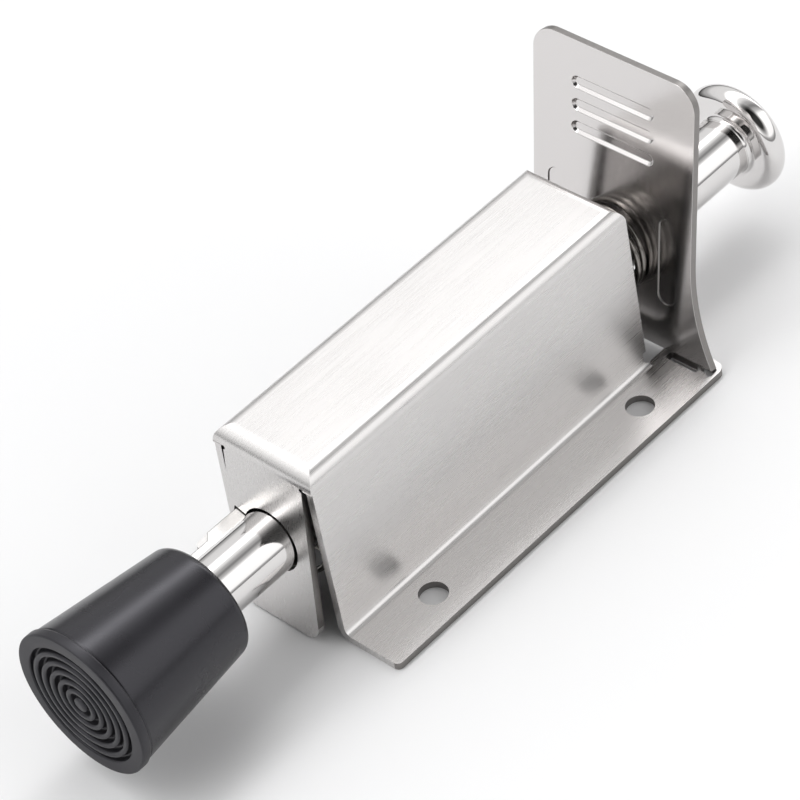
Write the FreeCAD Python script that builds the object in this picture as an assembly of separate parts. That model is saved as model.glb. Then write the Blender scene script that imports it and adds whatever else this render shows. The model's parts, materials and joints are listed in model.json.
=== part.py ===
"""Spring door stop: a sprung plunger in a folded steel bracket, held by a tilting release lever.

Millimetres. X runs along the plunger from the rubber foot to the knob, Y across the bracket,
and Z up from the mounting plane. The origin is the centre of the four screw holes on that plane.
"""
import FreeCAD, Part
import math
import os

from FreeCAD import Base

# Folded bracket
sheet = 1.5
fold_radius = 1.5
flange_length = 91.0
flange_half_span = 25.3
wall_length = 83.3
housing_height = 39.3
top_half_width = 11.7
base_half_width = 12.65
flange_corner = 2.2
hole_pitch_x = 57.3
hole_half_pitch_y = 18.8
hole_front_margin = 16.4
screw_hole_radius = 2.8
relief_radius = 1.1

# Front and rear tabs of the bracket, folded down from its top
tab_half_width = 9.35
front_tab_lean = 5.0
front_tab_bend = 2.0
front_tab_foot = 0.4
rear_tab_setback = 0.5
rear_tab_bend = 1.5
rear_tab_foot = 4.0
tab_corner = 3.0
tab_hole_clearance = 0.45
corner_relief = 0.45

# Plunger tube and its guide fin
axis_height = 19.55
tube_radius = 6.0
tube_wall = 1.0
foot_grip_depth = 19.0
fin_in_foot = 4.75
fin_angle = 15.0
fin_height = 2.7
fin_step_drop = 1.2
fin_thickness = 1.6
fin_step_from_foot = 8.6
fin_engagement = 7.4
fin_seat_depth = 0.6
fin_corner = 1.0
fin_step_radius = 0.4
keyway_clearance = 0.35
plunger_travel = 25.0

# Rubber foot
foot_length = 30.0
foot_to_bracket = 18.6
foot_front_radius = 14.45
foot_rear_radius = 11.45
foot_lip = 0.35
foot_lip_width = 2.0
foot_edge = 0.5
foot_shoulder = 1.8
foot_shoulder_steps = 6
groove_field_radius = 12.2
groove_count = 6
groove_depth = 0.9
groove_opening = 0.8
groove_floor = 0.35
foot_washer_thickness = 1.2

# Knob
knob_gap_to_bracket = 32.6
knob_radius = 11.5
knob_rim_radius = 2.6
knob_fillet = 1.0
knob_crown = 0.9
spigot_length = 14.0
spigot_chamfer = 0.5

# Return spring, its washer and the cross pin
spring_inner_clearance = 0.2
spring_wire = 1.2
closed_turns = 1
closed_gap = 0.06
return_turns = 11
spring_seat_sink = 0.3
washer_thickness = 1.4
washer_overhang = 0.3
washer_bore_clearance = 0.15
pin_radius = 1.25
pin_length = 17.0
pin_gap = 0.35

# Release lever
lever_sheet = 1.5
lever_tilt = 9.4
lever_half_width = 19.0
lever_height = 59.5
lever_corner = 5.0
lever_flare_half_width = 24.5
lever_flare_height = 22.0
lever_foot_gap = 1.2
lever_pivot_from_front = 88.2
lever_hole_clearance = 0.55
lug_ground_gap = 0.1
lug_inner_y = 14.8
lug_outer_y = 21.2
slot_clearance = 0.3
slot_front_room = 1.05
slot_end_room = 0.4
slot_corner = 0.4
notch_outer_margin = 0.7
notch_tooth = 0.56
tooth_corner = 0.15
rib_count = 3
rib_length = 19.4
rib_width = 2.7
rib_depth = 0.6
rib_draft = 0.55
rib_pitch = 4.8
rib_top_margin = 8.8
emboss_length = 19.0
emboss_width = 4.2
emboss_y = 13.4
emboss_centre = 20.6
emboss_depth = 0.25
emboss_draft = 0.2

# Lever spring
lever_turns = 2
lever_spring_radius = 8.6
lever_spring_gap = 0.2

# How far a cutter runs past the part
cutter_margin = 1.0

# Places worked out from the sizes
front_x = -(hole_pitch_x / 2 + hole_front_margin)
wall_rear_x = front_x + wall_length
flange_rear_x = front_x + flange_length
foot_rear_x = front_x - foot_to_bracket
foot_front_x = foot_rear_x - foot_length
tube_front_x = foot_rear_x - foot_grip_depth
knob_front_x = flange_rear_x + knob_gap_to_bracket
tube_rear_x = knob_front_x
rear_tab_outer_x = wall_rear_x - rear_tab_setback
rear_tab_inner_x = rear_tab_outer_x - sheet
fin_radius = tube_radius + fin_height
spring_inner_radius = fin_radius + spring_inner_clearance
spring_mean_radius = spring_inner_radius + spring_wire / 2
pin_x = rear_tab_inner_x - pin_gap - pin_radius
washer_rear_x = pin_x - pin_radius
washer_front_x = washer_rear_x - washer_thickness
fin_start_x = foot_rear_x - fin_in_foot
fin_end_x = front_x + plunger_travel + fin_engagement + sheet
pivot_x = front_x + lever_pivot_from_front
pivot_z = lever_sheet / 2 + lug_ground_gap
tilt = math.radians(lever_tilt)
lever_hole_radius = tube_radius + lever_hole_clearance


def vec(x, y, z):
    return Base.Vector(x, y, z)


def rounded_wire(points, radii):
    """Closed wire through 3-D points in one plane, each corner rounded by its own radius."""
    count = len(points)
    starts = []
    ends = []
    mids = []
    for i in range(count):
        corner = points[i]
        back = (points[i - 1] - corner).normalize()
        ahead = (points[(i + 1) % count] - corner).normalize()
        if radii[i] <= 0:
            starts.append(corner)
            ends.append(corner)
            mids.append(None)
            continue
        half = back.getAngle(ahead) / 2
        reach = radii[i] / math.tan(half)
        bisector = (back + ahead).normalize()
        starts.append(corner + back * reach)
        ends.append(corner + ahead * reach)
        mids.append(corner + bisector * (radii[i] / math.sin(half) - radii[i]))
    edges = []
    for i in range(count):
        if mids[i] is not None:
            edges.append(Part.Arc(starts[i], mids[i], ends[i]).toShape())
        following = (i + 1) % count
        if (starts[following] - ends[i]).Length > 1e-6:
            edges.append(Part.makeLine(ends[i], starts[following]))
    return Part.Wire(edges)


def prism(points, radii, direction):
    return Part.Face(rounded_wire(points, radii)).extrude(direction)


def rod_x(x_from, x_to, radius, y=0.0, z=axis_height):
    return Part.makeCylinder(radius, x_to - x_from, vec(x_from, y, z), vec(1, 0, 0))


def block(x, y, z):
    """Box from pairs of limits along each axis."""
    return Part.makeBox(x[1] - x[0], y[1] - y[0], z[1] - z[0], vec(x[0], y[0], z[0]))


def turned(profile):
    """Solid turned about the plunger axis from (x, radius) points."""
    corners = [vec(x, 0, axis_height + r) for x, r in profile]
    face = Part.Face(Part.makePolygon(corners + corners[:1]))
    return face.revolve(vec(0, 0, axis_height), vec(1, 0, 0), 360)


def mirrored(shape):
    return shape.mirror(vec(0, 0, 0), vec(0, 1, 0))


def about_axis(shape, degrees):
    """Copy of a shape turned about the plunger axis."""
    copy = shape.copy()
    copy.rotate(vec(0, 0, axis_height), vec(1, 0, 0), degrees)
    return copy


def hat_outline():
    """Outer half of the section as (y, z, corner radius), from the flange edge to the top."""
    return [
        (flange_half_span, 0, 0),
        (flange_half_span, sheet, 0),
        (base_half_width, sheet, fold_radius),
        (top_half_width, housing_height, fold_radius + sheet),
    ]


def section_prism(outline, x_from, length):
    points = [vec(x_from, y, z) for y, z, r in outline]
    return prism(points, [r for y, z, r in outline], vec(length, 0, 0))


def hat_section(x_from, length):
    """Top, two slightly splayed walls and two flanges, folded from one sheet."""
    half = hat_outline()
    inner = [
        (top_half_width - sheet, housing_height - sheet, fold_radius),
        (base_half_width - sheet, 0, fold_radius + sheet),
    ]
    outline = half + [(-y, z, r) for y, z, r in reversed(half)]
    outline = outline + [(-y, z, r) for y, z, r in reversed(inner)] + inner
    return section_prism(outline, x_from, length)


def outer_block(x_from, length):
    """Everything inside the outer faces of the top and walls, as a solid bar."""
    wall = [(base_half_width, 0, 0), (top_half_width, housing_height, fold_radius + sheet)]
    outline = wall + [(-y, z, r) for y, z, r in reversed(wall)]
    return section_prism(outline, x_from, length)


def folded_tab(root_x, face_x, direction, lean_degrees, bend, foot_z):
    """Tab folded down from the top, drawn into the walls at its bend and narrower below it.

    Its outer face starts at face_x, and direction is its side.
    """
    slope = math.tan(math.radians(lean_degrees)) * direction
    drop = housing_height - foot_z
    side = sheet * direction
    half = base_half_width
    points = [
        vec(root_x, -half, housing_height),
        vec(face_x, -half, housing_height),
        vec(face_x + slope * drop, -half, foot_z),
        vec(face_x + slope * drop - side, -half, foot_z),
        vec(face_x - side, -half, housing_height - sheet),
        vec(root_x, -half, housing_height - sheet),
    ]
    tab = prism(points, [0, bend + sheet, 0, 0, bend, 0], vec(0, 2 * half, 0))
    reach = drop + sheet
    tab = tab.common(outer_block(face_x - reach, 2 * reach))
    bend_foot = housing_height - bend - sheet
    corners = [
        vec(face_x - reach, -tab_half_width, foot_z),
        vec(face_x - reach, tab_half_width, foot_z),
        vec(face_x - reach, tab_half_width, bend_foot),
        vec(face_x - reach, -tab_half_width, bend_foot),
    ]
    below = prism(corners, [tab_corner, tab_corner, 0, 0], vec(2 * reach, 0, 0))
    above = block((face_x - reach, face_x + reach), (-half, half), (bend_foot, housing_height))
    return tab.common(below.fuse(above))


def bend_waste(end_x, inward, radius):
    """What lies outside a rounded upper end of the top and walls."""
    centre_x = end_x + inward * radius
    square = block(sorted((end_x - inward, centre_x)), (-base_half_width, base_half_width),
                   (housing_height - radius, housing_height + cutter_margin))
    roller = Part.makeCylinder(radius, 2 * base_half_width,
                               vec(centre_x, -base_half_width, housing_height - radius),
                               vec(0, 1, 0))
    return square.cut(roller)


def keyed_hole(x_from, x_to, clearance):
    """Cutter for the tube with its guide fin."""
    bore = rod_x(x_from, x_to, tube_radius + clearance)
    half = fin_thickness / 2 + keyway_clearance
    key = block((x_from, x_to), (0, fin_radius + keyway_clearance),
                (axis_height - half, axis_height + half))
    return bore.fuse(about_axis(key, fin_angle))


def bracket():
    body = hat_section(front_x, wall_length)
    for side in (1, -1):
        strip = block((wall_rear_x - sheet, flange_rear_x),
                      (base_half_width, flange_half_span), (0, sheet))
        body = body.fuse(strip if side > 0 else mirrored(strip))

    # The tabs at the two ends of the top
    front_bend = front_tab_bend + sheet
    rear_bend = rear_tab_bend + sheet
    body = body.cut(bend_waste(front_x, 1, front_bend))
    body = body.cut(bend_waste(wall_rear_x, -1, rear_bend))
    front = folded_tab(front_x + front_bend + sheet, front_x, -1, front_tab_lean,
                       front_tab_bend, front_tab_foot)
    front = front.cut(keyed_hole(front_x - 2 * tube_radius, front_x + 2 * tube_radius,
                                 tab_hole_clearance))
    rear = folded_tab(rear_tab_outer_x - rear_bend - sheet, rear_tab_outer_x, 1, 0,
                      rear_tab_bend, rear_tab_foot)
    rear = rear.cut(rod_x(rear_tab_inner_x - sheet, rear_tab_outer_x + sheet,
                          tube_radius + tab_hole_clearance))
    body = body.fuse([front, rear]).removeSplitter()

    # Small round reliefs where each slit beside a tab ends
    for x_from, bend_height in ((front_x, front_bend), (rear_tab_inner_x - sheet, rear_bend)):
        for y in (-tab_half_width, tab_half_width):
            relief = Part.makeCylinder(corner_relief, 3 * sheet,
                                       vec(x_from - sheet, y, housing_height - bend_height),
                                       vec(1, 0, 0))
            body = body.cut(relief)

    body = body.cut(flange_cuts())
    body = body.cut(mirrored(flange_cuts()))
    return body.removeSplitter()


def flange_cuts():
    """Screw holes, lever slot, fold relief and rounded corners of the flange at +Y."""
    cutters = []
    for x in (-hole_pitch_x / 2, hole_pitch_x / 2):
        cutters.append(Part.makeCylinder(screw_hole_radius, 3 * sheet,
                                         vec(x, hole_half_pitch_y, -sheet), vec(0, 0, 1)))
    cutters.append(lever_slot())
    relief_y = base_half_width - sheet / 2
    cutters.append(Part.makeCylinder(relief_radius, 4 * sheet,
                                     vec(wall_rear_x, relief_y, -sheet), vec(0, 0, 1)))
    for end_x, inward, radius in ((front_x, 1, flange_corner / 2), (flange_rear_x, -1, flange_corner)):
        low_x = min(end_x, end_x + inward * radius)
        square = block((low_x, low_x + radius), (flange_half_span - radius, flange_half_span),
                       (-sheet, 2 * sheet))
        disc = Part.makeCylinder(radius, 4 * sheet,
                                 vec(end_x + inward * radius, flange_half_span - radius, -2 * sheet),
                                 vec(0, 0, 1))
        cutters.append(square.cut(disc))
    return cutters[0].fuse(cutters[1:])


def lever_slot():
    """Slot for the lever's lug, with a slanted outer end that the lever is hooked in through."""
    half_depth = lever_sheet / 2 / math.cos(tilt)
    slot_front = pivot_x - half_depth - slot_front_room
    slot_rear = pivot_x + half_depth + slot_clearance
    inner = lug_inner_y - slot_end_room
    outer = lug_outer_y + slot_end_room
    edge = flange_half_span - notch_outer_margin
    tooth_x = slot_rear - (slot_rear - slot_front) * (1 - notch_tooth)
    points = [
        vec(slot_front, inner, -sheet),
        vec(slot_rear, inner, -sheet),
        vec(slot_rear, edge, -sheet),
        vec(slot_front, edge, -sheet),
        vec(tooth_x, outer + notch_tooth, -sheet),
        vec(slot_front, outer, -sheet),
    ]
    radii = [slot_corner, slot_corner, slot_corner, slot_corner, tooth_corner, slot_corner]
    return prism(points, radii, vec(0, 0, 3 * sheet))


def plunger_tube():
    tube = rod_x(tube_front_x, tube_rear_x, tube_radius)
    bore = rod_x(tube_front_x - cutter_margin, tube_rear_x + cutter_margin, tube_radius - tube_wall)
    tube = tube.cut(bore)
    tube = tube.cut(cross_pin_bore())
    return tube.cut(fin_seat(fin_seat_depth))


def cross_pin_bore():
    reach = tube_radius + cutter_margin
    return Part.makeCylinder(pin_radius, 2 * reach, vec(pin_x, -reach, axis_height), vec(0, 1, 0))


def fin_seat(depth):
    """Groove along the tube that the fin is brazed into."""
    groove = block((fin_start_x, fin_end_x),
                   (tube_radius - depth, tube_radius + fin_height),
                   (axis_height - fin_thickness / 2, axis_height + fin_thickness / 2))
    return about_axis(groove, fin_angle)


def guide_fin():
    """Radial key along the tube, lower beside the foot, that keeps the plunger from turning."""
    y_root = tube_radius - fin_seat_depth
    y_low = fin_radius - fin_step_drop
    x_step = foot_rear_x + fin_step_from_foot
    z = axis_height - fin_thickness / 2
    points = [
        vec(fin_start_x, y_root, z),
        vec(fin_end_x, y_root, z),
        vec(fin_end_x, fin_radius, z),
        vec(x_step + fin_step_drop, fin_radius, z),
        vec(x_step, y_low, z),
        vec(fin_start_x, y_low, z),
    ]
    radii = [0, 0, fin_corner, fin_step_radius, fin_step_radius, 0]
    fin = prism(points, radii, vec(0, 0, fin_thickness))
    return about_axis(fin, fin_angle)


def rubber_foot():
    """Tapered foot with a thin lip, a rounded shoulder and a face of concentric grooves."""
    face_x = foot_front_x
    lip_radius = foot_front_radius + foot_lip
    pitch = groove_field_radius / (groove_count + groove_opening / 2)
    profile = [(face_x, 0.0)]
    for ring in range(groove_count):
        middle = pitch * (ring + 1)
        for x, share in ((face_x, -groove_opening), (face_x + groove_depth, -groove_floor),
                         (face_x + groove_depth, groove_floor), (face_x, groove_opening)):
            profile.append((x, middle + pitch * share / 2))
    profile.append((face_x, lip_radius - foot_edge))
    profile.append((face_x + foot_edge, lip_radius))
    profile.append((face_x + foot_lip_width - foot_lip, lip_radius))
    profile.append((face_x + foot_lip_width, foot_front_radius))
    slope = (foot_front_radius - foot_rear_radius) / (foot_length - foot_lip_width)
    shoulder_x = foot_rear_x - foot_shoulder
    for step in range(foot_shoulder_steps + 1):
        turn = math.pi / 2 * step / foot_shoulder_steps
        radius = foot_rear_radius - foot_shoulder * (1 - math.cos(turn)) + slope * foot_shoulder
        profile.append((shoulder_x + foot_shoulder * math.sin(turn), radius))
    bore_end = tube_front_x - foot_washer_thickness
    profile.append((foot_rear_x, tube_radius))
    profile.append((bore_end, tube_radius))
    profile.append((bore_end, 0.0))
    foot = turned(profile)
    half = fin_thickness / 2
    groove = block((fin_start_x, foot_rear_x + foot_shoulder), (0, fin_radius - fin_step_drop),
                   (axis_height - half, axis_height + half))
    return foot.cut(about_axis(groove, fin_angle))


def foot_washer():
    """Steel disc that keeps the tube's end from cutting through the rubber."""
    return rod_x(tube_front_x - foot_washer_thickness, tube_front_x, tube_radius)


def knob():
    """Round head with a filleted neck and a crowned end, pressed into the tube by its spigot."""
    under_x = knob_front_x + knob_fillet
    rear_x = under_x + 2 * knob_rim_radius
    rim_centre = knob_radius - knob_rim_radius
    neck = tube_radius + knob_fillet
    slant = math.sqrt(0.5)

    def at(x, radius):
        return vec(x, 0, axis_height + radius)

    start = at(knob_front_x, tube_radius)
    fillet_mid = at(knob_front_x + knob_fillet * slant, neck - knob_fillet * slant)
    under = at(under_x, rim_centre)
    rim_mid = at(under_x + knob_rim_radius, knob_radius)
    rear = at(rear_x, rim_centre)
    crown = at(rear_x + knob_crown, 0)
    crown_sphere = (rim_centre ** 2 + knob_crown ** 2) / (2 * knob_crown)
    half_turn = math.asin(rim_centre / crown_sphere) / 2
    crown_mid = at(crown.x - crown_sphere * (1 - math.cos(half_turn)),
                   crown_sphere * math.sin(half_turn))
    spigot = tube_radius - tube_wall
    spigot_x = knob_front_x - spigot_length
    edges = [
        Part.Arc(start, fillet_mid, at(under_x, neck)).toShape(),
        Part.makeLine(at(under_x, neck), under),
        Part.Arc(under, rim_mid, rear).toShape(),
        Part.Arc(rear, crown_mid, crown).toShape(),
    ]
    inner = Part.makePolygon([crown, at(spigot_x, 0), at(spigot_x, spigot - spigot_chamfer),
                              at(spigot_x + spigot_chamfer, spigot), at(knob_front_x, spigot),
                              start])
    wire = Part.Wire(edges + inner.Edges)
    return Part.Face(wire).revolve(vec(0, 0, axis_height), vec(1, 0, 0), 360)


def coil_spring(x_from, x_to, open_turns, mean_radius):
    """Round wire wound about the plunger axis with closed end turns, as a chain of half rings.

    Each half ring leans so that it starts where the last one ends, and every joint of two
    lies in the plane y = 0.
    """
    wire_radius = spring_wire / 2
    closed_rise = (spring_wire + closed_gap) / 2
    closed_halves = 2 * closed_turns
    open_halves = 2 * open_turns
    open_rise = (x_to - x_from - spring_wire - 2 * closed_halves * closed_rise) / open_halves
    rises = [closed_rise] * closed_halves + [open_rise] * open_halves + [closed_rise] * closed_halves
    x = x_from + wire_radius
    side = 1
    rings = []
    for rise in rises:
        start = vec(x, 0, axis_height + side * mean_radius)
        end = vec(x + rise, 0, axis_height - side * mean_radius)
        section = Part.Face(Part.Wire(Part.makeCircle(wire_radius, start, vec(0, 1, 0))))
        normal = (end - start).cross(vec(0, side, 0))
        rings.append(section.revolve((start + end) * 0.5, normal, 180))
        x = x + rise
        side = -side
    return rings[0].fuse(rings[1:])


def return_spring():
    slope = math.tan(math.radians(front_tab_lean))
    reach = housing_height - axis_height - spring_mean_radius
    seat_x = front_x + sheet - slope * reach + spring_seat_sink
    return coil_spring(seat_x, washer_front_x, return_turns, spring_mean_radius)


def stop_washer():
    """Washer between the return spring and the cross pin."""
    disc = rod_x(washer_front_x, washer_rear_x, spring_mean_radius + washer_overhang)
    return disc.cut(rod_x(washer_front_x - cutter_margin, washer_rear_x + cutter_margin,
                          tube_radius + washer_bore_clearance))


def stop_pin():
    return Part.makeCylinder(pin_radius, pin_length, vec(pin_x, -pin_length / 2, axis_height),
                             vec(0, 1, 0))


def oblong(centre_y, centre_s, length, width, upright):
    """Oblong outline on the lever's plane, as a wire at x = 0."""
    half_l = length / 2
    half_w = width / 2
    along = half_l - half_w
    if upright:
        ends = (vec(0, centre_y, centre_s - along), vec(0, centre_y, centre_s + along))
        side = vec(0, half_w, 0)
        tip = vec(0, 0, half_w)
    else:
        ends = (vec(0, centre_y - along, centre_s), vec(0, centre_y + along, centre_s))
        side = vec(0, 0, half_w)
        tip = vec(0, half_w, 0)
    low, high = ends
    return Part.Wire([
        Part.makeLine(low + side, high + side),
        Part.Arc(high + side, high + tip, high - side).toShape(),
        Part.makeLine(high - side, low - side),
        Part.Arc(low - side, low - tip, low + side).toShape(),
    ])


def pressing(outline, depth, draft):
    """Pocket on the lever's front and the matching bulge on its back."""
    centre_y, centre_s, length, width, upright = outline

    def tapered(x_wide, x_narrow, grow):
        wide = oblong(centre_y, centre_s, length + grow, width + grow, upright)
        narrow = oblong(centre_y, centre_s, length + grow - 2 * draft,
                        width + grow - 2 * draft, upright)
        wide.translate(vec(x_wide, 0, 0))
        narrow.translate(vec(x_narrow, 0, 0))
        return Part.makeLoft([wide, narrow], True, True)
    face = lever_sheet / 2
    pocket = tapered(-face, -face + depth, 0)
    bulge = tapered(face, face + depth, draft)
    return pocket, bulge


def release_lever():
    """Flat plate with a flared foot and two lugs, leaning back so that its hole grips the tube."""
    face = lever_sheet / 2
    drop = lever_flare_height - lever_foot_gap
    spread = lever_flare_half_width - lever_half_width
    flare_radius = (drop ** 2 + spread ** 2) / (2 * spread)
    half_turn = math.asin(drop / flare_radius) / 2
    flare_mid = (lever_half_width + flare_radius * (1 - math.cos(half_turn)),
                 lever_flare_height - flare_radius * math.sin(half_turn))

    def at(y, s):
        return vec(-face, y, s)

    def side_edges(sign):
        bend_start = at(sign * lever_half_width, lever_height - lever_corner)
        bend_end = at(sign * (lever_half_width - lever_corner), lever_height)
        cut = lever_corner * (1 - math.sqrt(0.5))
        bend_mid = at(sign * (lever_half_width - cut), lever_height - cut)
        flare_top = at(sign * lever_half_width, lever_flare_height)
        flare_end = at(sign * lever_flare_half_width, lever_foot_gap)
        return [
            Part.Arc(bend_end, bend_mid, bend_start).toShape(),
            Part.makeLine(bend_start, flare_top),
            Part.Arc(flare_top, at(sign * flare_mid[0], flare_mid[1]), flare_end).toShape(),
        ]

    top_y = lever_half_width - lever_corner
    edges = side_edges(1) + side_edges(-1)
    edges.append(Part.makeLine(at(-top_y, lever_height), at(top_y, lever_height)))
    edges.append(Part.makeLine(at(-lever_flare_half_width, lever_foot_gap),
                               at(lever_flare_half_width, lever_foot_gap)))
    outline = Part.Wire(Part.__sortEdges__(edges))
    plate = Part.Face(outline).extrude(vec(lever_sheet, 0, 0))

    # Lugs with a round lower edge, which is what the lever rocks on
    lug = block((-face, face), (lug_inner_y, lug_outer_y), (0, lever_foot_gap + sheet))
    rocker = Part.makeCylinder(face, lug_outer_y - lug_inner_y, vec(0, lug_inner_y, 0), vec(0, 1, 0))
    lug = lug.fuse(rocker)
    plate = plate.fuse([lug, mirrored(lug)])

    features = []
    for row in range(rib_count):
        height = lever_height - rib_top_margin - row * rib_pitch
        features.append(pressing((0.0, height, rib_length, rib_width, False),
                                 rib_depth, rib_draft))
    for side in (1, -1):
        features.append(pressing((side * emboss_y, emboss_centre, emboss_length, emboss_width,
                                  True), emboss_depth, emboss_draft))
    plate = plate.fuse([bulge for pocket, bulge in features])
    for pocket, bulge in features:
        plate = plate.cut(pocket)
    hole_s = (axis_height - pivot_z) / math.cos(tilt)
    plate = plate.cut(Part.makeCylinder(lever_hole_radius, 4 * lever_sheet,
                                        vec(-2 * lever_sheet, 0, hole_s), vec(1, 0, 0)))
    plate = plate.removeSplitter()
    plate.rotate(vec(0, 0, 0), vec(0, 1, 0), lever_tilt)
    plate.translate(vec(pivot_x, 0, pivot_z))
    return plate


def lever_spring():
    """Short spring that pushes the lever back, lying at half of the lever's lean.

    Its wire ends are turned to the bottom, where tab and lever stand closest.
    """
    lean = math.tan(tilt)
    face_x = pivot_x + (axis_height - pivot_z) * lean - lever_sheet / 2 / math.cos(tilt)
    outer = lever_spring_radius + spring_wire / 2
    half_swing = outer * math.tan(tilt / 2)
    spring = coil_spring(rear_tab_outer_x + lever_spring_gap + half_swing,
                         face_x - lever_spring_gap - half_swing, lever_turns, lever_spring_radius)
    spring = about_axis(spring, 180)
    centre_x = (rear_tab_outer_x + face_x) / 2
    spring.rotate(vec(centre_x, 0, axis_height), vec(0, 1, 0), lever_tilt / 2)
    return spring


NODES = {
    "bracket": bracket,
    "plunger_tube": plunger_tube,
    "guide_fin": guide_fin,
    "rubber_foot": rubber_foot,
    "foot_washer": foot_washer,
    "knob": knob,
    "return_spring": return_spring,
    "stop_washer": stop_washer,
    "stop_pin": stop_pin,
    "release_lever": release_lever,
    "lever_spring": lever_spring,
}

os.makedirs("parts", exist_ok=True)
for name, make in NODES.items():
    shape = make()
    if shape.ShapeType != "Solid" and len(shape.Solids) == 1:
        shape = shape.Solids[0]
    shape.exportStep("parts/" + name + ".step")
    box = shape.BoundBox
    print(name, len(shape.Solids), shape.isValid(), round(shape.Volume, 1),
          [round(v, 2) for v in (box.XMin, box.XMax, box.YMin, box.YMax, box.ZMin, box.ZMax)])
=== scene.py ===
"""Spring door stop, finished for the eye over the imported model.

Metres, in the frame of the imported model: X along the plunger from the rubber foot to the knob,
Y across the bracket, Z up from the mounting plane.
"""
import json
import math

import bmesh
import bpy
from mathutils import Matrix, Vector


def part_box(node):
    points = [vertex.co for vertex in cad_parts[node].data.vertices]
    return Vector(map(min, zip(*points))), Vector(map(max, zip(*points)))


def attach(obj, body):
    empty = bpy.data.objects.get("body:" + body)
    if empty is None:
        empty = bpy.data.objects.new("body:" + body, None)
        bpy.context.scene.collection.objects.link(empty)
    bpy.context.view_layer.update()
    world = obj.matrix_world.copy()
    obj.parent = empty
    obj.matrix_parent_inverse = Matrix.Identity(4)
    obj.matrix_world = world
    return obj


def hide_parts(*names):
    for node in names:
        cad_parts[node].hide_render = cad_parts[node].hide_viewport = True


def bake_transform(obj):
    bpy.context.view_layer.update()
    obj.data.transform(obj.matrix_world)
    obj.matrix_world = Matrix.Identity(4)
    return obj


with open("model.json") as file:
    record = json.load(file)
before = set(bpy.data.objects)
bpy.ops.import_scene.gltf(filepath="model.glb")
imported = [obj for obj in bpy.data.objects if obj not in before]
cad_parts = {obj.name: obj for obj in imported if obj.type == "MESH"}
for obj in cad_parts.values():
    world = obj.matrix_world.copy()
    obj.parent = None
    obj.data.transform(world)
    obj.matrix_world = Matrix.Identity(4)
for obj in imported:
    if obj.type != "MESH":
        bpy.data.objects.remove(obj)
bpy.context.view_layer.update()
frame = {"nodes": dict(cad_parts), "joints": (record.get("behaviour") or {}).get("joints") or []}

MM = 0.001


# Finishes

# Real belt lines lie about 0.05 mm apart: they are drawn coarser, so that they show
GRAIN_MM = 0.16
GRAIN_LENGTH_MM = 12.8
GRAIN_CONTRAST = 0.035
# A face looks along X where the X part of its normal is larger than this
LOOKS_ALONG_X = 0.7
# A mould's stipple is about 0.1 mm: it is drawn coarser, so that it shows
STIPPLE_MM = 0.35


def linear(hex_colour):
    """sRGB hex to the linear colour that shaders work in."""
    channels = [int(hex_colour[i:i + 2], 16) / 255 for i in (1, 3, 5)]
    return [c / 12.92 if c <= 0.04045 else ((c + 0.055) / 1.055) ** 2.4 for c in channels] + [1.0]


def add(tree, kind, inputs=None, **settings):
    """A node with its settings. An input is a value, or an output socket that is linked to it."""
    made = tree.nodes.new("ShaderNode" + kind)
    for name, value in settings.items():
        setattr(made, name, value)
    for name, value in (inputs or {}).items():
        if isinstance(value, bpy.types.NodeSocket):
            tree.links.new(value, made.inputs[name])
        else:
            made.inputs[name].default_value = value
    return made


def ramp(tree, factor, stops):
    """Smooth grey ramp from (position, grey value) stops."""
    made = add(tree, "ValToRGB", {"Fac": factor})
    made.color_ramp.interpolation = "EASE"
    points = made.color_ramp.elements
    while len(points) < len(stops):
        points.new(0.5)
    for point, (place, grey) in zip(points, stops):
        point.position = place
        point.color = (grey, grey, grey, 1.0)
    return made.outputs["Color"]


def new_finish(name):
    finish = bpy.data.materials.new(name)
    finish.use_nodes = True
    finish.node_tree.nodes.clear()
    return finish, finish.node_tree


def output(tree, shader):
    add(tree, "OutputMaterial", {"Surface": shader.outputs[0]})


def brushed_grain(tree, along):
    """Noise drawn out along one axis, as an abrasive belt leaves it."""
    place = add(tree, "TexCoord").outputs["Object"]
    scale = [1 / (GRAIN_MM * MM)] * 3
    scale["XYZ".index(along)] = 1 / (GRAIN_LENGTH_MM * MM)
    drawn_out = add(tree, "Mapping", {"Vector": place, "Scale": scale})
    noise = add(tree, "TexNoise", {"Vector": drawn_out.outputs[0], "Scale": 1.0, "Detail": 3.0,
                                   "Roughness": 0.6})
    return noise.outputs["Fac"]


def shaded(hex_colour, factor):
    """Linear colour made lighter or darker."""
    return [min(1.0, c * factor) for c in linear(hex_colour)[:3]] + [1.0]


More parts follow.
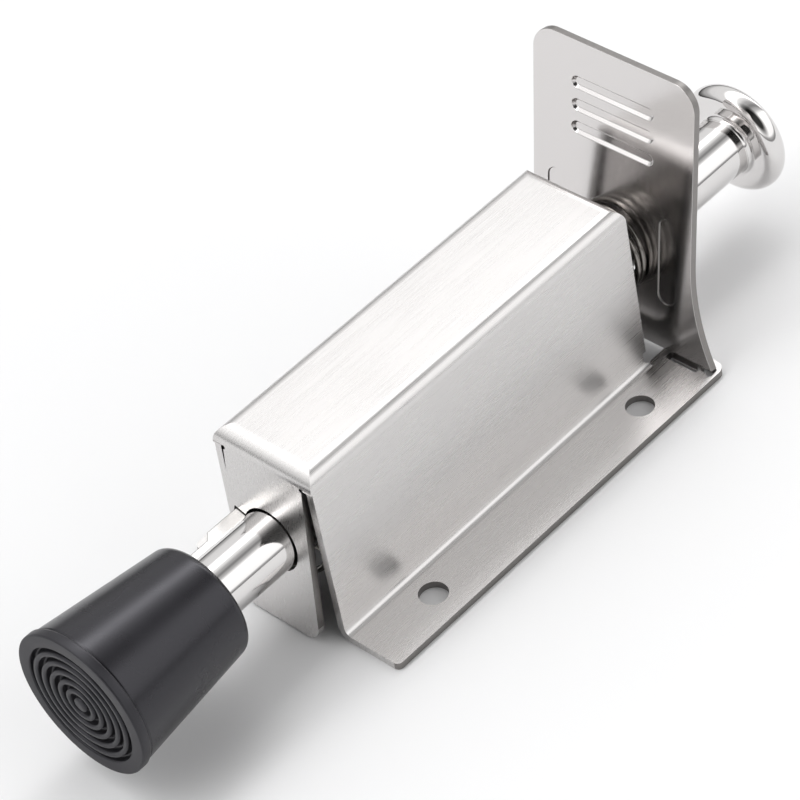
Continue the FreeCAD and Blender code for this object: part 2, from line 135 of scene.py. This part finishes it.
def brushed_steel(name, colour, roughness, along, anisotropy):
    """Belt-brushed stainless steel sheet: fine lines that pull each highlight out across them.

    The grain follows the sheet round its folds, so the faces that look along X have upright
    lines, and no pull.
    """
    finish, tree = new_finish(name)
    facing = add(tree, "SeparateXYZ", {"Vector": add(tree, "NewGeometry").outputs["Normal"]})
    endwise = add(tree, "Math", {0: facing.outputs["X"]}, operation="ABSOLUTE")
    on_end = add(tree, "Math", {0: endwise.outputs[0], 1: LOOKS_ALONG_X},
                 operation="GREATER_THAN")
    lines = add(tree, "Mix", {"Factor": on_end.outputs[0],
                              "A": brushed_grain(tree, along),
                              "B": brushed_grain(tree, "Z")})
    place = add(tree, "TexCoord").outputs["Object"]
    cloud = add(tree, "TexNoise", {"Vector": place, "Scale": 1 / (18 * MM), "Detail": 2.0})
    shade = add(tree, "MixRGB", {"Fac": lines.outputs[0],
                                 "Color1": shaded(colour, 1 - GRAIN_CONTRAST),
                                 "Color2": shaded(colour, 1 + GRAIN_CONTRAST)})
    rough = add(tree, "MapRange", {"Value": lines.outputs[0], "From Min": 0.3, "From Max": 0.7,
                                   "To Min": roughness * 0.9, "To Max": roughness * 1.12})
    uneven = add(tree, "MapRange", {"Value": cloud.outputs["Fac"], "From Min": 0.3,
                                    "From Max": 0.7, "To Min": -0.015, "To Max": 0.015})
    rough_sum = add(tree, "Math", {0: rough.outputs[0], 1: uneven.outputs[0]}, operation="ADD")
    scratches = add(tree, "Bump", {"Height": lines.outputs[0], "Strength": 0.08,
                                   "Distance": 0.02 * MM})
    across_grain = add(tree, "Tangent", direction_type="RADIAL", axis="X")
    stretch = add(tree, "MapRange", {"Value": on_end.outputs[0], "To Min": anisotropy,
                                     "To Max": 0.0})
    shader = add(tree, "BsdfPrincipled", {
        "Base Color": shade.outputs[0], "Metallic": 1.0, "Roughness": rough_sum.outputs[0],
        "Anisotropic": stretch.outputs[0], "Normal": scratches.outputs[0],
        "Tangent": across_grain.outputs[0]})
    output(tree, shader)
    return finish


def chrome_plate():
    """Polished chrome plating: a mirror with a faint haze in patches."""
    finish, tree = new_finish("chrome_plate")
    place = add(tree, "TexCoord").outputs["Object"]
    haze = add(tree, "TexNoise", {"Vector": place, "Scale": 1 / (6 * MM), "Detail": 4.0})
    rough = add(tree, "MapRange", {"Value": haze.outputs["Fac"], "From Min": 0.35,
                                   "From Max": 0.75, "To Min": 0.05, "To Max": 0.09})
    shader = add(tree, "BsdfPrincipled", {"Base Color": linear("#DEDCDB"), "Metallic": 1.0,
                                          "Roughness": rough.outputs[0]})
    output(tree, shader)
    return finish


def moulded_rubber():
    """Black moulded rubber with a fine stipple: the mould leaves its side glossy, its face matt.

    The change from matt to glossy lies in the lip, just behind the face.
    """
    finish, tree = new_finish("moulded_rubber")
    place = add(tree, "TexCoord").outputs["Object"]
    stipple = add(tree, "TexNoise", {"Vector": place, "Scale": 1 / (STIPPLE_MM * MM),
                                     "Detail": 2.0})
    cloud = add(tree, "TexNoise", {"Vector": place, "Scale": 1 / (9 * MM), "Detail": 3.0})
    tone = add(tree, "MixRGB", {"Fac": cloud.outputs["Fac"], "Color1": linear("#121114"),
                                "Color2": linear("#17161A")})
    along = add(tree, "SeparateXYZ", {"Vector": place})
    face_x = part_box("rubber_foot")[0].x
    on_side = add(tree, "MapRange", {"Value": along.outputs["X"], "From Min": face_x + 0.3 * MM,
                                     "From Max": face_x + 2.5 * MM, "To Min": 0.5,
                                     "To Max": 0.27})
    uneven = add(tree, "MapRange", {"Value": cloud.outputs["Fac"], "From Min": 0.3,
                                    "From Max": 0.7, "To Min": -0.03, "To Max": 0.03})
    rough = add(tree, "Math", {0: on_side.outputs[0], 1: uneven.outputs[0]}, operation="ADD")
    pores = add(tree, "Bump", {"Height": stipple.outputs["Fac"], "Strength": 0.08,
                               "Distance": 0.03 * MM})
    shader = add(tree, "BsdfPrincipled", {"Base Color": tone.outputs[0],
                                          "Roughness": rough.outputs[0], "IOR": 1.55,
                                          "Specular Tint": linear("#F0EFF8"),
                                          "Normal": pores.outputs[0]})
    output(tree, shader)
    return finish


def grainless_steel(name, colour, roughness, staining=0.25):
    """Steel that shows no grain: drawn wire, ground bar, zinc plate or a sheared edge.

    It shows its shine, and the faint stains that oil and handling leave.
    """
    finish, tree = new_finish(name)
    place = add(tree, "TexCoord").outputs["Object"]
    stain = add(tree, "TexNoise", {"Vector": place, "Scale": 1 / (0.8 * MM), "Detail": 4.0})
    tone = add(tree, "MixRGB", {"Fac": stain.outputs["Fac"],
                                "Color1": shaded(colour, 1 - staining),
                                "Color2": linear(colour)})
    rough = add(tree, "MapRange", {"Value": stain.outputs["Fac"], "To Min": roughness * 0.8,
                                   "To Max": roughness * 1.3})
    shader = add(tree, "BsdfPrincipled", {"Base Color": tone.outputs[0], "Metallic": 1.0,
                                          "Roughness": rough.outputs[0]})
    output(tree, shader)
    return finish


FINISH = {
    "bracket_steel": brushed_steel("brushed_stainless_housing", "#D3D1D0", 0.28, "X", 0.5),
    "lever_steel": brushed_steel("brushed_stainless_lever", "#DBD8D7", 0.17, "Z", 0.2),
    "plated_tube": chrome_plate(),
    "fin_steel": grainless_steel("ground_bar_steel", "#E6E4E2", 0.24, 0.06),
    "spring_wire": grainless_steel("drawn_spring_wire", "#8E8A86", 0.16),
    "plain_steel": grainless_steel("zinc_plated_steel", "#BDBAB4", 0.3),
    "foot_rubber": moulded_rubber(),
    # The sheared-edge finish also darkens the lever's emboss walls, as painted shade
    "cut_edge_and_emboss_shade": grainless_steel("sheared_edge_and_painted_emboss_shade", "#94918F", 0.38),
}


# Pieces

def show(piece, slot_name, *nodes):
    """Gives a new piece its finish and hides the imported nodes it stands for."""
    piece.data.materials.clear()
    piece.data.materials.append(FINISH[slot_name])
    if nodes:
        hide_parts(*nodes)
    return piece


def piece_from(name, mesh):
    piece = bpy.data.objects.new(name, mesh)
    bpy.context.scene.collection.objects.link(piece)
    return piece


def smooth_piece(name, work):
    """Piece from a finished surface, with its normals outward and smooth shading."""
    bmesh.ops.recalc_face_normals(work, faces=work.faces)
    for face in work.faces:
        face.smooth = True
    mesh = bpy.data.meshes.new(name)
    work.to_mesh(mesh)
    work.free()
    return piece_from(name, mesh)


def softened_copy(name, node, edge_width, is_fine=None):
    """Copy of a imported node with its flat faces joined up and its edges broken, as deburring does.

    Edges that is_fine picks, by their middle, are broken by less.
    """
    mesh = frame["nodes"][node].data.copy()
    mesh.name = name
    work = bmesh.new()
    work.from_mesh(mesh)
    bmesh.ops.remove_doubles(work, verts=work.verts, dist=MERGE_DISTANCE)
    bmesh.ops.dissolve_limit(work, angle_limit=FLAT_ANGLE, verts=work.verts, edges=work.edges)
    broken = work.edges.layers.float.new("bevel_weight_edge")
    for face in work.faces:
        face.smooth = True
    for edge in work.edges:
        middle = (edge.verts[0].co + edge.verts[1].co) / 2
        fine = is_fine is not None and is_fine(middle)
        edge.smooth = edge.is_manifold and edge.calc_face_angle(0) < SHARP_ANGLE
        edge[broken] = 0.0 if edge.smooth else FINE_EDGE if fine else 1.0
    work.to_mesh(mesh)
    work.free()
    mesh.update()
    if "custom_normal" in mesh.attributes:
        mesh.attributes.remove(mesh.attributes["custom_normal"])
    piece = piece_from(name, mesh)
    bevel = piece.modifiers.new("broken_edges", "BEVEL")
    bevel.width = edge_width
    bevel.segments = 2
    bevel.limit_method = "WEIGHT"
    keep_flat_faces_flat(piece)
    return piece


def dull_cut_edges_and_shade_emboss_walls(piece, most_x=1.0, is_pressed=None):
    """Gives a sheet's cut edges their own finish: shearing leaves them duller than its faces.

    A cut edge lies between two sharp edges that are about one sheet apart. Faces that look along
    X by more than most_x are the floors of pressed grooves, and keep the finish of the sheet. The
    low walls that is_pressed picks, by their middle, get this duller finish too. Its darker colour
    there is painted shade, which tones down the highlight along the embosses.
    """
    piece.data.materials.append(FINISH["cut_edge_and_emboss_shade"])
    work = bmesh.new()
    work.from_mesh(piece.data)
    for face in work.faces:
        sharp = [edge.calc_length() for edge in face.edges if not edge.smooth]
        if len(sharp) < 2:
            continue
        width = face.calc_area() / max(sharp)
        is_cut = abs(width - SHEET) < SHEET_SLACK and abs(face.normal.x) <= most_x
        # Painted shade: the emboss walls take the darker edge finish, which dims their highlight
        is_painted_shade_wall = width < LOW_WALL and is_pressed and is_pressed(face.calc_center_median())
        if is_cut or is_painted_shade_wall:
            face.material_index = 1
    work.to_mesh(piece.data)
    work.free()


def keep_flat_faces_flat(piece):
    """Large faces keep their own normal, and the small ones between them are shaded round."""
    flat = piece.modifiers.new("flat_faces_stay_flat", "WEIGHTED_NORMAL")
    flat.keep_sharp = True


def lathe(name, profile):
    """Piece turned about the plunger axis from (x, radius) points, with smooth shading."""
    work = bmesh.new()
    rings = []
    for x, radius in profile:
        if radius <= 0:
            rings.append([work.verts.new((x, 0, AXIS_Z))])
            continue
        ring = []
        for step in range(LATHE_STEPS):
            turn = 2 * math.pi * step / LATHE_STEPS
            ring.append(work.verts.new((x, radius * math.cos(turn),
                                        AXIS_Z + radius * math.sin(turn))))
        rings.append(ring)
    for low, high in zip(rings, rings[1:]):
        for step in range(LATHE_STEPS):
            following = (step + 1) % LATHE_STEPS
            corners = [low[step % len(low)], low[following % len(low)],
                       high[following % len(high)], high[step % len(high)]]
            corners = list(dict.fromkeys(corners))
            work.faces.new(corners)
    piece = smooth_piece(name, work)
    keep_flat_faces_flat(piece)
    return piece


def coil(name, x_from, x_to, turns, mean_radius, lean=0.0, start_turn=0.0):
    """Round wire wound about the plunger axis, with a closed turn at each end.

    The lean of the turns grows from nothing at x_from, so that both ends lie flat on what
    they push against.
    """
    work = bmesh.new()
    closed_pitch = 2 * WIRE_RADIUS * CLOSED_TURN_SLACK
    whole = turns + 2
    count = int(whole * STEPS_PER_TURN)
    travel = x_to - x_from - 2 * WIRE_RADIUS
    free = travel - 2 * closed_pitch
    rings = []
    for step in range(count + 1):
        turn = whole * step / count
        if turn < 1:
            x = closed_pitch * turn
        elif turn > turns + 1:
            x = closed_pitch + free + closed_pitch * (turn - turns - 1)
        else:
            x = closed_pitch + free * (turn - 1) / turns
        angle = 2 * math.pi * (turn + start_turn)
        out = Vector((0, math.cos(angle), math.sin(angle)))
        tipped = mean_radius * out.z * math.tan(lean * x / travel)
        centre = Vector((x_from + WIRE_RADIUS + x + tipped, 0, AXIS_Z)) + out * mean_radius
        ring = []
        for side in range(WIRE_SIDES):
            around = 2 * math.pi * side / WIRE_SIDES
            ring.append(work.verts.new(centre + out * WIRE_RADIUS * math.cos(around)
                                       + Vector((WIRE_RADIUS * math.sin(around), 0, 0))))
        rings.append(ring)
    for low, high in zip(rings, rings[1:]):
        for side in range(WIRE_SIDES):
            following = (side + 1) % WIRE_SIDES
            work.faces.new((low[side], low[following], high[following], high[side]))
    work.faces.new(rings[0])
    work.faces.new(rings[-1])
    return smooth_piece(name, work)


def arc(centre_x, centre_r, radius, from_degrees, to_degrees, steps):
    """Points of an arc as (x, radius) pairs; 0 degrees looks along +X and 90 away from the axis."""
    points = []
    for step in range(steps + 1):
        turn = math.radians(from_degrees + (to_degrees - from_degrees) * step / steps)
        points.append((centre_x + radius * math.cos(turn), centre_r + radius * math.sin(turn)))
    return points


def grooved_foot():
    """Tapered rubber foot: round ridges on its face, a lip with an undercut, a round shoulder."""
    front = FOOT_LOW.x
    rear = FOOT_HIGH.x
    lip = (FOOT_HIGH.z - FOOT_LOW.z) / 2
    side = lip - FOOT_LIP
    pitch = GROOVE_FIELD / (GROOVE_COUNT + GROOVE_SHARE / 2)
    half_groove = pitch * GROOVE_SHARE / 2
    profile = [(front, 0.0)]
    for groove in range(GROOVE_COUNT):
        middle = pitch * (groove + 1)
        for step in range(GROOVE_STEPS + 1):
            across = 2 * step / GROOVE_STEPS - 1
            sunk = GROOVE_DEPTH * (1 - abs(across) ** GROOVE_FULLNESS)
            profile.append((front + sunk, middle + across * half_groove))
    profile += arc(front + FOOT_EDGE, lip - FOOT_EDGE, FOOT_EDGE, 180, 90, 6)
    profile += arc(front + FOOT_LIP_WIDTH - FOOT_LIP, lip - FOOT_LIP, FOOT_LIP, 90, 0, 4)
    for behind_mm, depth_mm in UNDERCUT_MM:
        profile.append((front + FOOT_LIP_WIDTH + behind_mm * MM, side - depth_mm * MM))
    taper = math.degrees(math.atan((side - FOOT_REAR) / (rear - front - FOOT_LIP_WIDTH)))
    profile += arc(rear - FOOT_SHOULDER, FOOT_REAR - FOOT_SHOULDER, FOOT_SHOULDER,
                   90 - taper, 0, 8)
    profile += [(rear, TUBE_RADIUS), (rear - FOOT_BORE_SHOWN, TUBE_RADIUS)]
    return lathe("rubber_foot_moulding", profile)


def turned_knob():
    """Chromed head: a small fillet out of the tube, a flat under side and a round rim."""
    start = TUBE_HIGH.x
    under_x = start + KNOB_FILLET
    rim_x = under_x + KNOB_RIM
    rim_r = KNOB_RADIUS - KNOB_RIM
    end = KNOB_HIGH.x
    crown = end - rim_x - KNOB_RIM
    profile = [(start - KNOB_SINK, TUBE_RADIUS - KNOB_INSET)]
    profile += arc(start, TUBE_RADIUS + KNOB_FILLET, KNOB_FILLET, 270, 360, 10)
    profile += arc(rim_x, rim_r, KNOB_RIM, 180, 0, 28)
    for step in range(1, CROWN_STEPS + 1):
        radius = rim_r * (1 - step / CROWN_STEPS)
        profile.append((end - crown * (radius / rim_r) ** 2, max(0.0, radius)))
    return lathe("knob_turning", profile)


def plated_tube():
    """Drawn tube with a slightly rounded front end."""
    low = TUBE_LOW.x
    high = TUBE_HIGH.x
    inner = TUBE_RADIUS - TUBE_WALL
    profile = [(low, inner)]
    profile += arc(low + TUBE_EDGE, TUBE_RADIUS - TUBE_EDGE, TUBE_EDGE, 180, 90, 3)
    profile += [(high, TUBE_RADIUS), (high, inner)]
    return lathe("tube_drawing", profile)


def on_emboss(place):
    """Whether a place on the lever lies on one of its two shallow upright embosses."""
    return EMBOSS_INNER_Y < abs(place.y) < EMBOSS_OUTER_Y and EMBOSS_LOW < place.z < EMBOSS_HIGH


def dress_the_part():
    """Every piece, each on the body that carries it."""
    sheet = show(softened_copy("bracket_sheet", "bracket", HOUSING_EDGE), "bracket_steel",
                 "bracket")
    dull_cut_edges_and_shade_emboss_walls(sheet)
    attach(sheet, "bracket")
    plate = show(softened_copy("lever_plate", "release_lever", LEVER_EDGE, on_emboss),
                 "lever_steel", "release_lever")
    # The lever's emboss walls get the darker edge finish as painted shade
    dull_cut_edges_and_shade_emboss_walls(plate, LOOKS_ALONG_X, on_emboss)
    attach(plate, "lever")

    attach(show(grooved_foot(), "foot_rubber", "rubber_foot"), "plunger")
    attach(show(turned_knob(), "plated_tube", "knob"), "plunger")
    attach(show(plated_tube(), "plated_tube", "plunger_tube"), "plunger")
    fin = show(softened_copy("fin_bar", "guide_fin", FIN_EDGE), "plated_tube", "guide_fin")
    # The fin has the tube's slot, but it is ground from bar
    fin.data.materials[0] = FINISH["fin_steel"]
    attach(fin, "plunger")

    return_low, return_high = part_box("return_spring")
    return_coil = show(coil("return_coil", return_low.x, return_high.x, RETURN_TURNS,
                            RETURN_COIL_RADIUS), "spring_wire", "return_spring")
    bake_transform(return_coil)

    pivot = Vector(next(j for j in frame["joints"] if j["name"] == "lever_tilt")["pos_m"])
    lever_face = (pivot.x + (AXIS_Z - pivot.z) * math.tan(LEVER_LEAN)
                  - SHEET / 2 / math.cos(LEVER_LEAN))
    seat = REAR_TAB_FACE + SEAT_GAP
    lever_coil = show(coil("lever_coil", seat, lever_face - SEAT_GAP, LEVER_TURNS,
                           LEVER_COIL_RADIUS, LEVER_LEAN, LEVER_WIRE_END), "spring_wire",
                      "lever_spring")
    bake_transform(lever_coil)

    for node_name in ("foot_washer", "stop_washer", "stop_pin"):
        materials = frame["nodes"][node_name].data.materials
        for place in range(len(materials)):
            materials[place] = FINISH["plain_steel"]


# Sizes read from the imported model
TUBE_LOW, TUBE_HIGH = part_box("plunger_tube")
FOOT_LOW, FOOT_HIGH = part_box("rubber_foot")
KNOB_LOW, KNOB_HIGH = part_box("knob")
AXIS_Z = (TUBE_LOW.z + TUBE_HIGH.z) / 2
TUBE_RADIUS = (TUBE_HIGH.z - TUBE_LOW.z) / 2
KNOB_RADIUS = (KNOB_HIGH.z - KNOB_LOW.z) / 2
WASHER_OVERHANG = 0.3 * MM
RETURN_COIL_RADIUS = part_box("stop_washer")[1].y - WASHER_OVERHANG

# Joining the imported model's triangles up to faces
MERGE_DISTANCE = 0.002 * MM
FLAT_ANGLE = math.radians(0.3)
SHARP_ANGLE = math.radians(28.0)

# Sheet parts and the fin
HOUSING_EDGE = 0.14 * MM
LEVER_EDGE = 0.16 * MM
FIN_EDGE = 0.25 * MM
FINE_EDGE = 0.2  # share of the full width
SHEET = 1.5 * MM
SHEET_SLACK = 0.25 * MM
LOW_WALL = 0.5 * MM  # what the walls of the pressed embosses stay under
LEVER_LEAN = math.radians(9.4)
REAR_TAB_FACE = 37.75 * MM
EMBOSS_INNER_Y = 10.8 * MM
EMBOSS_OUTER_Y = 16.0 * MM
EMBOSS_LOW = 10.0 * MM
EMBOSS_HIGH = 32.0 * MM

# Springs
WIRE_RADIUS = 0.6 * MM
WIRE_SIDES = 14
STEPS_PER_TURN = 72
CLOSED_TURN_SLACK = 1.03
RETURN_TURNS = 11
LEVER_TURNS = 2.0
LEVER_COIL_RADIUS = 8.6 * MM
LEVER_WIRE_END = 0.75  # share of a turn, which puts the wire's ends at the bottom
SEAT_GAP = 0.05 * MM

# Turned and moulded parts
LATHE_STEPS = 192
TUBE_WALL = 1.0 * MM
TUBE_EDGE = 0.2 * MM
GROOVE_COUNT = 6
GROOVE_FIELD = 12.2 * MM
GROOVE_SHARE = 0.58  # groove width over the pitch
GROOVE_DEPTH = 1.3 * MM
GROOVE_FULLNESS = 2.6  # power of the groove's section: 2 is a parabola, and more is fuller
GROOVE_STEPS = 16
FOOT_EDGE = 0.35 * MM
FOOT_LIP = 0.35 * MM
FOOT_LIP_WIDTH = 2.0 * MM
UNDERCUT_MM = ((0.05, 0.35), (0.3, 0.35), (0.6, 0.03))  # distance behind the lip, and depth
FOOT_REAR = 11.55 * MM
FOOT_SHOULDER = 1.8 * MM
FOOT_BORE_SHOWN = 2.0 * MM
KNOB_RIM = 2.6 * MM
KNOB_FILLET = 1.0 * MM
KNOB_SINK = 0.2 * MM
KNOB_INSET = 0.5 * MM
CROWN_STEPS = 12

dress_the_part()


# Camera at the photograph's angle
CAMERA_PLACE = Vector((-0.32065, -0.36535, 0.47293))
CAMERA_AZIMUTH = math.radians(40.193)
CAMERA_ELEVATION = math.radians(43.096)
CAMERA_ROLL = math.radians(-10.824)
CAMERA_LENS = 166.31
CAMERA_SENSOR = 36.0

ahead = Vector((math.sin(CAMERA_AZIMUTH) * math.cos(CAMERA_ELEVATION),
                math.cos(CAMERA_AZIMUTH) * math.cos(CAMERA_ELEVATION),
                -math.sin(CAMERA_ELEVATION)))
level_right = Vector((math.cos(CAMERA_AZIMUTH), -math.sin(CAMERA_AZIMUTH), 0))
level_up = level_right.cross(ahead)
right = level_right * math.cos(CAMERA_ROLL) + level_up * math.sin(CAMERA_ROLL)
up = level_up * math.cos(CAMERA_ROLL) - level_right * math.sin(CAMERA_ROLL)

camera = bpy.data.objects.new("photo_camera", bpy.data.cameras.new("photo_camera"))
bpy.context.scene.collection.objects.link(camera)
camera.data.lens = CAMERA_LENS
camera.data.sensor_width = CAMERA_SENSOR
camera.data.clip_start = 0.01
camera.data.clip_end = 20.0
turned = Matrix((right, up, -ahead)).transposed().to_4x4()
camera.matrix_world = Matrix.Translation(CAMERA_PLACE) @ turned
bpy.context.scene.camera = camera


# Studio
SKY_STRENGTH = 4.8
HOOD_STRENGTH = 0.15
HOOD_CORE = math.radians(20)
HOOD_EDGE = math.radians(40)
FLOOR_HALF = 3.0
FLOOR_DROP = 0.05 * MM


def painted_floor():
    """Matt white studio paper, a little uneven in tone."""
    finish, tree = new_finish("studio_paper")
    place = add(tree, "TexCoord").outputs["Object"]
    cloud = add(tree, "TexNoise", {"Vector": place, "Scale": 1 / (250 * MM), "Detail": 2.0})
    tone = add(tree, "MixRGB", {"Fac": cloud.outputs["Fac"], "Color1": linear("#E8E8E9"),
                                "Color2": linear("#ECECEC")})
    shader = add(tree, "BsdfPrincipled", {"Base Color": tone.outputs[0], "Roughness": 0.9})
    output(tree, shader)
    return finish


floor_mesh = bpy.data.meshes.new("studio_floor")
floor_mesh.from_pydata([(-FLOOR_HALF, -FLOOR_HALF, 0), (FLOOR_HALF, -FLOOR_HALF, 0),
                        (FLOOR_HALF, FLOOR_HALF, 0), (-FLOOR_HALF, FLOOR_HALF, 0)], [],
                       [(0, 1, 2, 3)])
studio_floor = piece_from("studio_floor", floor_mesh)
studio_floor.location.z = -FLOOR_DROP
studio_floor.data.materials.append(painted_floor())


def studio_sky():
    """Strip lights and dark gaps that run along X, which is what the chrome and folds reflect.

    The ramp goes from the near horizon (0) over the top (0.5) to the far horizon (1). A dark hood
    stands where the photograph was taken from, and shows in the faces that look along X.
    """
    world = bpy.data.worlds.new("studio_tent")
    world.use_nodes = True
    tree = world.node_tree
    tree.nodes.clear()
    outward = add(tree, "TexCoord").outputs["Generated"]
    direction = add(tree, "SeparateXYZ", {"Vector": outward})
    near = add(tree, "Math", {0: direction.outputs["Y"], 1: -1.0}, operation="MULTIPLY")
    turn = add(tree, "Math", {0: direction.outputs["Z"], 1: near.outputs[0]},
               operation="ARCTAN2")
    share = add(tree, "Math", {0: turn.outputs[0], 1: math.pi}, operation="DIVIDE")
    glow = ramp(tree, share.outputs[0], [
        (0.0, 0.05), (0.03, 0.10), (0.065, 0.28), (0.19, 0.31), (0.28, 0.33), (0.36, 0.12),
        (0.41, 0.06), (0.46, 0.11), (0.53, 0.22), (0.575, 0.42), (0.595, 1.0), (0.64, 1.0),
        (0.665, 0.40), (0.71, 0.20), (0.77, 0.20), (0.85, 0.19), (0.92, 0.11), (1.0, 0.01)])
    toward_hood = add(tree, "VectorMath", {0: outward, 1: -ahead}, operation="DOT_PRODUCT")
    strength = add(tree, "MapRange", {"Value": toward_hood.outputs["Value"],
                                      "From Min": math.cos(HOOD_EDGE),
                                      "From Max": math.cos(HOOD_CORE),
                                      "To Min": SKY_STRENGTH, "To Max": HOOD_STRENGTH})
    sky = add(tree, "Background", {"Color": glow, "Strength": strength.outputs[0]})
    add(tree, "OutputWorld", {"Surface": sky.outputs[0]})
    bpy.context.scene.world = world


studio_sky()
bpy.context.scene.view_settings.view_transform = "Standard"
